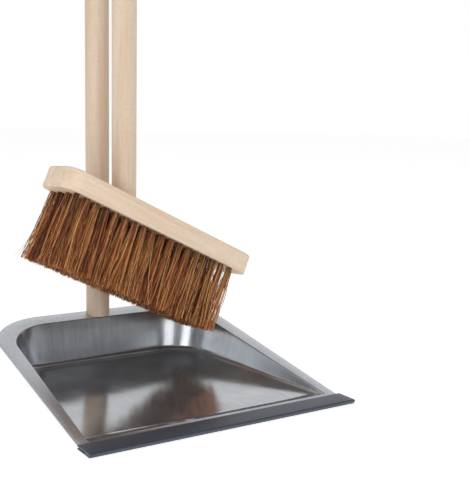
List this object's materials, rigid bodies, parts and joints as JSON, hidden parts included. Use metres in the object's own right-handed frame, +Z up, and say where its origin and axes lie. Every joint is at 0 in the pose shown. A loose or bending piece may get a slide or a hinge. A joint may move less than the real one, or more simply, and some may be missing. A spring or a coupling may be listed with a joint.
{
  "type": "dust pan and brush set",
  "caption": "Standing sweeping set: pressed steel pan with rubber lip on an upright wooden handle, and a long-handled bristle brush whose crossbar socket hangs it over the pan handle's tip.",
  "frame": {"origin": "middle of the pan's underside, on the floor it stands on", "axes": "+Z up along the handles, -Y towards the lip of the pan, X along the lip"},
  "size_m": [0.2322, 0.2565, 1],
  "materials": {
    "pan_steel": "dark lacquered sheet steel, glossy floor, fine-brushed rim",
    "lip_rubber": "blue-grey extruded rubber, satin",
    "handle_beech": "turned beech, sanded, untreated",
    "block_beech": "planed beech, eased edges, untreated",
    "bristle_fibre": "stiff red-brown plant fibre",
    "zinc_wire": "zinc-plated steel"
  },
  "bodies": {
    "pan": {"dust_pan": "pan_steel", "rubber_lip": "lip_rubber", "pan_handle": "handle_beech", "pan_handle_screw": "zinc_wire"},
    "brush": {"crossbar": "handle_beech", "crossbar_pin": "handle_beech", "brush_handle": "handle_beech", "brush_block": "block_beech", "block_screw": "zinc_wire", "tuft_row_1": "bristle_fibre", "tuft_row_2": "bristle_fibre", "tuft_row_3": "bristle_fibre", "tuft_row_4": "bristle_fibre", "tuft_anchors_1": "zinc_wire", "tuft_anchors_2": "zinc_wire", "tuft_anchors_3": "zinc_wire", "tuft_anchors_4": "zinc_wire"}
  },
  "joints": [
    {"name": "brush_lift", "type": "slide", "parent": "pan", "child": "brush", "axis": [0, 0, 1], "range_m": [0, 0.12]}
  ]
}
